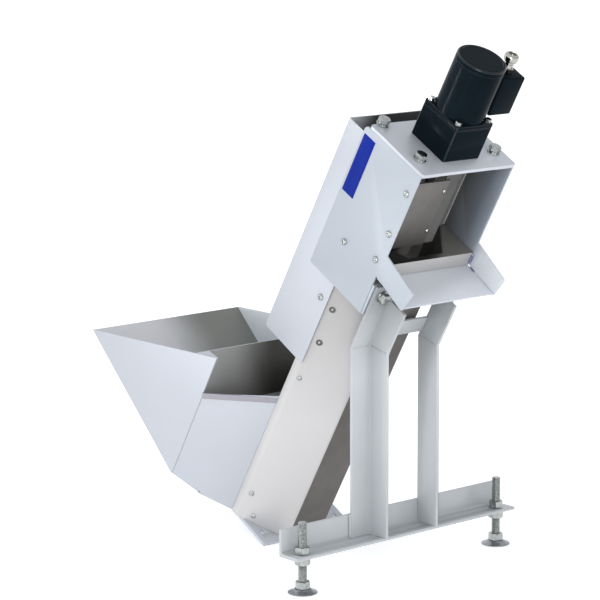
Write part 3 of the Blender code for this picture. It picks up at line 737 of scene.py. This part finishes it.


# Guard plate
# A 3 mm stainless plate across the mouth of the head box, in front of the screw's coupling. It
# is laser cut, coloured a dull brownish grey with painted shade, and held by two small
# button-headed screws.

guard = take_copy("guard_plate", "guard_sheet")
break_edges(guard, SHEET_EDGE)
guard.data.materials.append(mill_steel)
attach(guard, "root")
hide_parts("guard_plate")

# It is screwed to an upright angle of 3 mm steel, primed dark grey, between shelf and top plate.
primer = clouded("grey_primed_steel", {"Roughness": 0.6}, ("#353534", "#4A4A48"), 45.0, 4.0)

ANGLE_STEEL = 0.003
BRACKET_BACK = -0.0517
BRACKET_FRONT = -0.0488
BRACKET_NEAR = 0.0080
BRACKET_FAR = 0.0430
BRACKET_LOW = 0.6675
BRACKET_HIGH = 0.8525
WING_DEPTH = 0.0150

bracket = add_block("guard_bracket", (BRACKET_BACK, BRACKET_NEAR, BRACKET_LOW),
                    (BRACKET_FRONT, BRACKET_FAR, BRACKET_HIGH))
wing = add_block("wing", (BRACKET_BACK - WING_DEPTH, BRACKET_FAR - ANGLE_STEEL, BRACKET_LOW),
                 (BRACKET_FRONT - 0.0005, BRACKET_FAR, BRACKET_HIGH))
cut_by(bracket, wing, "UNION")
break_edges(bracket, SHEET_EDGE)
set_down(bracket, TILT)
bracket.data.materials.append(primer)
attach(bracket, "root")


# Gear motor
# A die-cast gearhead with rounded corners, a flange, and a plain round motor with a pressed end
# cap. All of it is sprayed with gloss black enamel.

# Gloss enamel on a die casting: blue-black, with the faint unevenness of sprayed paint.
enamel, shader = start_material("gloss_black_enamel", {"Specular IOR Level": 0.02})
tint = add_node(enamel, "ShaderNodeMix",
                {"data_type": "RGBA", 6: linear("#0A1216"), 7: linear("#0D171D")},
                [(2, shader, "Base Color")])
gloss = add_node(enamel, "ShaderNodeMapRange", {"To Min": 0.12, "To Max": 0.20},
                 [("Result", shader, "Roughness")])
bump = add_node(enamel, "ShaderNodeBump", {"Strength": 0.10, "Distance": 0.0003},
                [("Normal", shader, "Normal")])
cloud = add_node(enamel, "ShaderNodeTexNoise", {"Scale": 30.0, "Detail": 2.0}, [("Fac", tint, "Factor")])
peel = add_node(enamel, "ShaderNodeTexNoise", {"Scale": 420.0, "Detail": 2.0},
                [("Fac", gloss, "Value"), ("Fac", bump, "Height")])
add_node(enamel, "ShaderNodeTexCoord", {}, [("Object", cloud, "Vector"), ("Object", peel, "Vector")])

# The enamel pools on rounded edges and dries there to a harder gloss.
enamel_edge = clouded("pooled_black_enamel", {"Specular IOR Level": 0.3, "Roughness": 0.2},
                      ("#0A1216", "#0D171D"), 30.0, 2.0)

DRIVE_X = -0.075
HEAD_TOP = 0.862
GEARBOX_DEPTH = 0.092
GEARBOX_WIDTH = 0.087
GEARBOX_HEIGHT = 0.0635
FLANGE_HEIGHT = 0.008
CASTING_CORNER = 0.0038
MOTOR_RADIUS = 0.045
MOTOR_HEIGHT = 0.097
CAP_HEIGHT = 0.011
CASTING_EDGE = 0.0010
CAP_DISH = 0.0018       # how deep the end cap's face lies below its rim

seat = HEAD_TOP + GAP
for name, node, height in (("gearbox_casting", "gearbox", GEARBOX_HEIGHT),
                           ("flange_casting", "motor_flange", FLANGE_HEIGHT)):
    block = add_block(name, (DRIVE_X - GEARBOX_DEPTH / 2, -GEARBOX_WIDTH / 2, seat),
                      (DRIVE_X + GEARBOX_DEPTH / 2, GEARBOX_WIDTH / 2, seat + height))
    bevel_edges(block, CASTING_CORNER, 5, lambda middle, along, fold: abs(along.z) > ALIGNED)
    break_edges(block, CASTING_EDGE)
    set_down(block, TILT)
    block.data.materials.append(enamel)
    paint_faces(block, enamel_edge, lambda middle, normal: max(map(abs, normal)) < 0.97)
    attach(block, "root")
    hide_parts(node)
    seat += height + GAP

motor_top = seat + MOTOR_HEIGHT
motor = turn("motor_can", [
    (MOTOR_RADIUS - 0.0012, seat), (MOTOR_RADIUS - 0.0012, seat + 0.003),
    (MOTOR_RADIUS, seat + 0.004), (MOTOR_RADIUS, motor_top - 0.0008),
    (MOTOR_RADIUS - 0.0008, motor_top)], sides=64)
set_down(motor, TILT @ Matrix.Translation((DRIVE_X, 0, 0)))
cap_low = motor_top + GAP
cap_rim = cap_low + CAP_HEIGHT - GAP
cap_face = cap_low + CAP_HEIGHT - CAP_DISH
end_cap = turn("motor_cap", [
    (MOTOR_RADIUS - 0.0008, cap_low), (MOTOR_RADIUS, cap_low + 0.0008),
    (MOTOR_RADIUS, cap_low + 0.0068), (MOTOR_RADIUS - 0.0005, cap_low + 0.0084),
    (MOTOR_RADIUS - 0.0016, cap_low + 0.0097), (MOTOR_RADIUS - 0.0030, cap_rim),
    (MOTOR_RADIUS - 0.0058, cap_rim), (MOTOR_RADIUS - 0.0068, cap_face), (0.0050, cap_face)], sides=64)
set_down(end_cap, TILT @ Matrix.Translation((DRIVE_X, 0, 0)))
for piece, node in ((motor, "motor_body"), (end_cap, "motor_end_cap")):
    piece.data.materials.append(enamel)
    paint_faces(piece, enamel_edge, lambda middle, normal: 0.2 < abs(normal.z) < 0.97)
    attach(piece, "root")
    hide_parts(node)


# Terminal box and gland
# A black box, screwed to the motor's far side and enamelled with it. A nickel-plated brass cable
# gland is screwed into its top.

TERMINAL_LOW = (-0.101, 0.0453, 0.9368)
TERMINAL_HIGH = (-0.049, 0.0980, 1.0123)
TERMINAL_CORNER = 0.0025
TERMINAL_EDGE = 0.0002
GLAND_Y = 0.0715
GLAND_FLATS = 0.0216
GLAND_NUT = 0.008

terminal = add_block("terminal_case", TERMINAL_LOW, TERMINAL_HIGH)
bevel_edges(terminal, TERMINAL_CORNER, 3, lambda middle, along, fold: True)
break_edges(terminal, TERMINAL_EDGE)
set_down(terminal, TILT)
terminal.data.materials.append(enamel)
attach(terminal, "root")
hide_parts("terminal_box")

# Nickel plate on machined brass: a clear warm mirror.
nickel = clouded("nickel_plated_brass", {"Metallic": 1.0}, ("#86847E", "#CBC9C2"),
                 120.0, 2.0, (0.06, 0.14))

gland = turn("gland_body", [
    (0.0090, 0.0), (0.0090, 0.0150), (0.0082, 0.0156), (0.0082, 0.0170), (0.0090, 0.0176),
    (0.0090, 0.0196), (0.0082, 0.0202), (0.0082, 0.0210), (0.0124, 0.0212), (0.0130, 0.0222),
    (0.0130, 0.0285), (0.0124, 0.0310), (0.0108, 0.0329), (0.0090, 0.0337), (0.0070, 0.0337),
    (0.0066, 0.0325), (0.0066, 0.0290)], sides=40)
gland_nut = make_hexagon("gland_hexagon", GLAND_FLATS, GLAND_NUT, True)
cut_by(gland, gland_nut, "UNION")
set_down(gland, TILT @ Matrix.Translation((DRIVE_X, GLAND_Y, TERMINAL_HIGH[2] + GAP)))
gland.data.materials.append(nickel)
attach(gland, "root")
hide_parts("cable_gland")


# Bolts of the head
# Four M12 hexagon bolts hold the top plate, each with a spring washer and a flat washer, and two
# hold the legs to the head box's flanges. They are zinc plated.

def copy_to(piece, name, place):
    """A copy of a finished piece, with its own mesh, at its own place."""
    twin = piece.copy()
    twin.data = piece.data.copy()
    twin.name = name
    bpy.context.scene.collection.objects.link(twin)
    return set_down(twin, place)


BOLT_FLATS = 0.019
BOLT_HEAD = 0.0076
BOLT_SEAT = 0.0054      # the head stands on its two washers
bolt = turn("bolt", [
    (0.0115, 0.0), (0.0120, 0.0004), (0.0120, 0.0018), (0.0115, 0.0022), (0.0098, 0.0022),
    (0.0098, 0.0050), (0.0078, 0.0050), (0.0078, 0.0056)], sides=40)
head = set_down(make_hexagon("head", BOLT_FLATS, BOLT_HEAD, False), Matrix.Translation((0, 0, BOLT_SEAT)))
cut_by(bolt, head, "UNION")
bolt.data.materials.append(zinc)

TO_FRONT = Matrix.Rotation(math.radians(90.0), 4, "Y")
TO_NEAR = Matrix.Rotation(math.radians(90.0), 4, "X")

# Each bolt of the top plate with its place and how far it is turned, in radians.
TOP_BOLTS = (("top_near_back", (-0.1505, -0.0860, HEAD_TOP), 0.2),
             ("top_near_front", (-0.0445, -0.0860, HEAD_TOP), 0.7),
             ("top_far_front", (-0.0420, 0.0910, HEAD_TOP), 0.1),
             ("top_far_back", (-0.1505, 0.0860, HEAD_TOP), 0.5))
LEG_BOLT = (0.0021, 0.090, 0.6025)

for label, place, turned_by in TOP_BOLTS:
    twin = copy_to(bolt, "bolt_" + label,
                   TILT @ Matrix.Translation(place) @ Matrix.Rotation(turned_by, 4, "Z"))
    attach(twin, "root")
for side, label in ((-1, "left"), (1, "right")):
    place = (LEG_BOLT[0], side * LEG_BOLT[1], LEG_BOLT[2])
    twin = copy_to(bolt, "bolt_leg_" + label, TILT @ Matrix.Translation(place) @ TO_FRONT)
    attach(twin, "root")
bpy.data.objects.remove(bolt)


# Screws of the motor flange
# Four small hexagon screws of zinc-plated steel clamp the motor to the gearhead through the
# flange's corners, each on a flat washer.

FLANGE_SCREW_FLATS = 0.0100
FLANGE_SCREW_HEAD = 0.0055
FLANGE_SCREW_SEAT = 0.0011
FLANGE_SCREW_PLACE = (0.0375, 0.0355)   # from the motor's axis, forwards and sideways
FLANGE_SCREW_TURN = 0.3                 # each stands turned by this much more, in radians

flange_screw = turn("flange_screw", [
    (0.0059, 0.0), (0.0062, 0.0003), (0.0062, 0.0012), (0.0045, 0.0012)], sides=24)
head = set_down(make_hexagon("head", FLANGE_SCREW_FLATS, FLANGE_SCREW_HEAD, False),
                Matrix.Translation((0, 0, FLANGE_SCREW_SEAT)))
cut_by(flange_screw, head, "UNION")
flange_screw.data.materials.append(zinc)
flange_top = HEAD_TOP + GEARBOX_HEIGHT + FLANGE_HEIGHT + 2 * GAP
for number, (forwards, sideways) in enumerate(((1, 1), (1, -1), (-1, -1), (-1, 1))):
    place = Matrix.Translation((DRIVE_X + forwards * FLANGE_SCREW_PLACE[0],
                                sideways * FLANGE_SCREW_PLACE[1], flange_top))
    twin = copy_to(flange_screw, f"flange_screw_{number + 1}",
                   TILT @ place @ Matrix.Rotation(FLANGE_SCREW_TURN * number, 4, "Z"))
    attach(twin, "root")
bpy.data.objects.remove(flange_screw)


# Screws of the plates
# Button-headed screws hold the guard plate and the side plates, and pop rivets the hood and the
# hopper's edge. Two tapped bushes show as dark rings on the trough's slanted wall.

button = turn("button", [
    (0.0060, 0.0), (0.0064, 0.0006), (0.0060, 0.0018), (0.0048, 0.0029), (0.0036, 0.0034),
    (0.0029, 0.0035), (0.0026, 0.0034), (0.0026, 0.0010)], sides=28)
button.data.materials.append(zinc)

HEAD_SIDE = 0.1125
SIDE_SCREWS = ((-0.0192, 0.8109), (-0.0199, 0.7253), (-0.1067, 0.6447), (-0.0251, 0.6662))
HOOD_SCREW = (-0.1094, -0.1089, 0.5182)
GUARD_SCREWS = ((-0.0455, 0.0125, 0.7832), (-0.0455, 0.0120, 0.6978))
GUARD_SCREW_SCALE = 0.6

for number, (forwards, upwards) in enumerate(SIDE_SCREWS):
    for side, label in ((-1, "near"), (1, "far")):
        turned_over = TO_NEAR if side < 0 else TO_NEAR.inverted()
        twin = copy_to(button, f"side_screw_{label}_{number + 1}",
                       TILT @ Matrix.Translation((forwards, side * HEAD_SIDE, upwards)) @ turned_over)
        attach(twin, "root")
plate_screws = [copy_to(button, "hood_screw_near", TILT @ Matrix.Translation(HOOD_SCREW) @ TO_NEAR)]
for number, spot in enumerate(GUARD_SCREWS):
    place = TILT @ Matrix.Translation(spot) @ TO_FRONT @ Matrix.Scale(GUARD_SCREW_SCALE, 4)
    plate_screws.append(copy_to(button, f"guard_screw_{number + 1}", place))
for twin in plate_screws:
    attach(twin, "root")

# On the slanted walls: the bushes are oiled steel rings pressed into the sheet, the rivets domed.
bush = turn("bush", [
    (0.0056, 0.0), (0.0061, 0.0004), (0.0061, 0.0010), (0.0056, 0.0014), (0.0036, 0.0014),
    (0.0031, 0.0010), (0.0031, 0.0002)], sides=28)
bush.data.materials.append(stained_steel)
rivet = turn("rivet", [
    (0.0048, 0.0), (0.0051, 0.0004), (0.0046, 0.0014), (0.0033, 0.0023), (0.0016, 0.0027)], sides=24)
rivet.data.materials.append(zinc)

WALL_OUTWARD = Vector((0.603, -0.798, 0.0))
WALL_SPOTS = (("bush", (-0.0831, 0.0968, 0.5081)), ("bush", (-0.0821, 0.0960, 0.4337)),
              ("rivet", (-0.0889, 0.1012, 0.3462)), ("rivet", (-0.0874, 0.1000, 0.0668)),
              ("rivet", (-0.0720, 0.0884, 0.0220)))
PIN_SCALE = 0.58        # the pin in a bush is a smaller rivet

for number, (kind, spot) in enumerate(WALL_SPOTS):
    for side, label in ((-1, "near"), (1, "far")):
        outward = Vector((WALL_OUTWARD.x, -side * WALL_OUTWARD.y, 0.0))
        place = TILT @ Matrix.Translation((spot[0], side * spot[1], spot[2]))
        place = place @ outward.to_track_quat("Z", "Y").to_matrix().to_4x4()
        twin = copy_to(bush if kind == "bush" else rivet, f"wall_{kind}_{label}_{number + 1}", place)
        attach(twin, "root")
        if kind == "bush":
            pin = copy_to(rivet, f"wall_pin_{label}_{number + 1}", place @ Matrix.Scale(PIN_SCALE, 4))
            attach(pin, "root")
for pattern in (bush, rivet, button):
    bpy.data.objects.remove(pattern)


# Weld beads
# The legs are welded where they are mitred and where they stand in the base bar, and the chute's
# lip is welded into the cheek. The beads on the legs are painted, the other keeps its heat tint.

RIPPLE = 0.0024         # between one ridge of a bead and the next trough
DIP = 0.80              # of the radius, between two ripples
TIP = 0.45              # of the radius, at both ends


def lay_bead(name, start, end, radius, material):
    """A weld bead between two places, with its ripples."""
    run = Vector(end) - Vector(start)
    ripples = max(4, round(run.length / RIPPLE))
    rings = [(radius * TIP, 0.0)]
    for number in range(1, ripples):
        rings.append((radius * (1.0 if number % 2 else DIP), run.length * number / ripples))
    bead = turn(name, rings + [(radius * TIP, run.length)], sides=14)
    set_down(bead, Matrix.Translation(start) @ run.to_track_quat("Z", "Y").to_matrix().to_4x4())
    bead.data.materials.append(material)
    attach(bead, "root")


# Stainless weld as it cools: straw at the edge, then purple and blue.
tinted_weld = clouded("heat_tinted_weld", {"Metallic": 1.0, "Roughness": 0.45},
                      ("#3F3D6E", "#9C99AE"), 220.0, 2.0)

# Each bead with its two ends and its radius, on the right side. Those on the legs are placed
# in the machine, the others along the screw.
LEG_BEADS = (("mitre_bead_flange_", (0.2084, 0.0700, 0.4166), (0.2084, 0.1075, 0.4166), 0.0022),
             ("mitre_bead_web_", (0.2110, 0.0646, 0.4160), (0.2515, 0.0646, 0.4051), 0.0020),
             ("foot_bead_", (0.2046, 0.1092, 0.0712), (0.2046, 0.1092, 0.1135), 0.0027),
             ("mitre_bead_inner_", (0.2060, 0.0584, 0.4170), (0.2515, 0.0584, 0.4050), 0.0017))
CHUTE_BEADS = (("lip_bead_", (-0.0040, 0.1085, 0.6440), (-0.0040, 0.1085, 0.6655), 0.0034),
               ("chute_bead_", (0.0010, 0.1085, 0.6392), (0.0150, 0.1085, 0.6380), 0.0016))

for side, label in ((-1, "left"), (1, "right")):
    over = Vector((1, side, 1))
    for name, start, end, radius in LEG_BEADS:
        lay_bead(name + label, over * Vector(start), over * Vector(end), radius,
                 angle_paint)
    for name, start, end, radius in CHUTE_BEADS:
        lay_bead(name + label, TILT @ (over * Vector(start)), TILT @ (over * Vector(end)), radius,
                 tinted_weld)


# Label
# A plain blue vinyl sticker near the upper back corner of the near side plate, cut with rounded
# corners and pressed on by hand.

vinyl = clouded("blue_vinyl_film", {"Roughness": 0.35, "Specular IOR Level": 0.05},
                ("#0A1F78", "#0E2686"), 60.0, 2.0)

VINYL_THICK = 0.0003
LABEL_CORNER = 0.0012
LABEL_EDGE = 0.0001
label = add_block("plain_label", (-0.1577, -HEAD_SIDE - VINYL_THICK, 0.7231),
                  (-0.1261, -HEAD_SIDE, 0.8418))
bevel_edges(label, LABEL_CORNER, 3, lambda middle, along, fold: abs(along.y) > ALIGNED)
break_edges(label, LABEL_EDGE)
set_down(label, TILT)
label.data.materials.append(vinyl)
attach(label, "root")


# Studio
# A wide pale floor, light from all round that is a little brighter on one side, four soft
# lights, and the photograph's camera.

bpy.ops.object.select_all(action="DESELECT")
bpy.ops.mesh.primitive_plane_add(size=160.0, location=(0, 0, 0))
floor = bpy.context.object
floor.name = "studio_floor"
floor.data.materials.append(clouded(
    "pale_matt_floor", {"Roughness": 0.9, "Emission Color": (1, 1, 1, 1), "Emission Strength": 0.27},
    ("#FAFAFA", "#FCFCFC"), 0.4, 2.0))

world = bpy.data.worlds.new("studio")
bpy.context.scene.world = world
world.use_nodes = True
background = world.node_tree.nodes["Background"]
background.inputs["Color"].default_value = linear("#FAFBFF")
BRIGHT_SIDE = (-0.596, -0.745, -0.298)
grade = add_node(world, "ShaderNodeMapRange", {"From Min": -1.0, "To Min": 0.81, "To Max": 1.40},
                 [("Result", background, "Strength")])
toward = add_node(world, "ShaderNodeVectorMath", {"operation": "DOT_PRODUCT", 1: BRIGHT_SIDE},
                  [("Value", grade, "Value")])
add_node(world, "ShaderNodeTexCoord", {}, [("Generated", toward, 0)])

bpy.context.scene.view_settings.view_transform = "Standard"


def add_light(name, size, watts, spread, place, aim):
    """A soft light with that width and height in metres, turned from its place to an aim."""
    light = bpy.data.objects.new(name, bpy.data.lights.new(name, "AREA"))
    light.data.shape = "RECTANGLE"
    light.data.size, light.data.size_y = size
    light.data.energy = watts
    light.data.spread = math.radians(spread)
    light.location = place
    light.rotation_euler = (light.location - Vector(aim)).to_track_quat("Z", "Y").to_euler()
    light.visible_camera = False
    bpy.context.scene.collection.objects.link(light)


add_light("strip", (0.06, 0.6), 2.1, 180.0, (-0.57, -1.10, 0.50), (0.3, 0, 0.9))
add_light("front", (0.5, 2.2), 40.0, 180.0, (2.5, -2.0, 0.7), (0.3, 0, 0.5))
add_light("mouth", (0.3, 0.3), 0.33, 44.0, (0.90, 0.06, 0.70), (0.34, 0.03, 0.56))
add_light("glint", (0.08, 0.15), 0.07, 8.0, (-0.57, -1.10, 0.58), (0.39, 0, 0.94))

CAMERA_PLACE = (3.5132, -3.1069, 1.3060)
AZIMUTH = math.radians(48.948)
ELEVATION = math.radians(10.197)
ROLL = math.radians(-0.2055)
FOCAL_SHARE = 4.29997       # focal length over the picture's width
SENSOR = 36.0

back = Vector((math.sin(AZIMUTH) * math.cos(ELEVATION), -math.cos(AZIMUTH) * math.cos(ELEVATION),
               math.sin(ELEVATION)))
right = Vector((math.cos(AZIMUTH), math.sin(AZIMUTH), 0.0))
up = back.cross(right)
rolled_right = right * math.cos(ROLL) + up * math.sin(ROLL)
rolled_up = up * math.cos(ROLL) - right * math.sin(ROLL)
camera = bpy.data.objects.new("camera", bpy.data.cameras.new("camera"))
camera.data.sensor_width = SENSOR
camera.data.lens = SENSOR * FOCAL_SHARE
camera.matrix_world = Matrix.Translation(CAMERA_PLACE) @ Matrix(
    (rolled_right, rolled_up, back)).transposed().to_4x4()
bpy.context.scene.collection.objects.link(camera)
bpy.context.scene.camera = camera
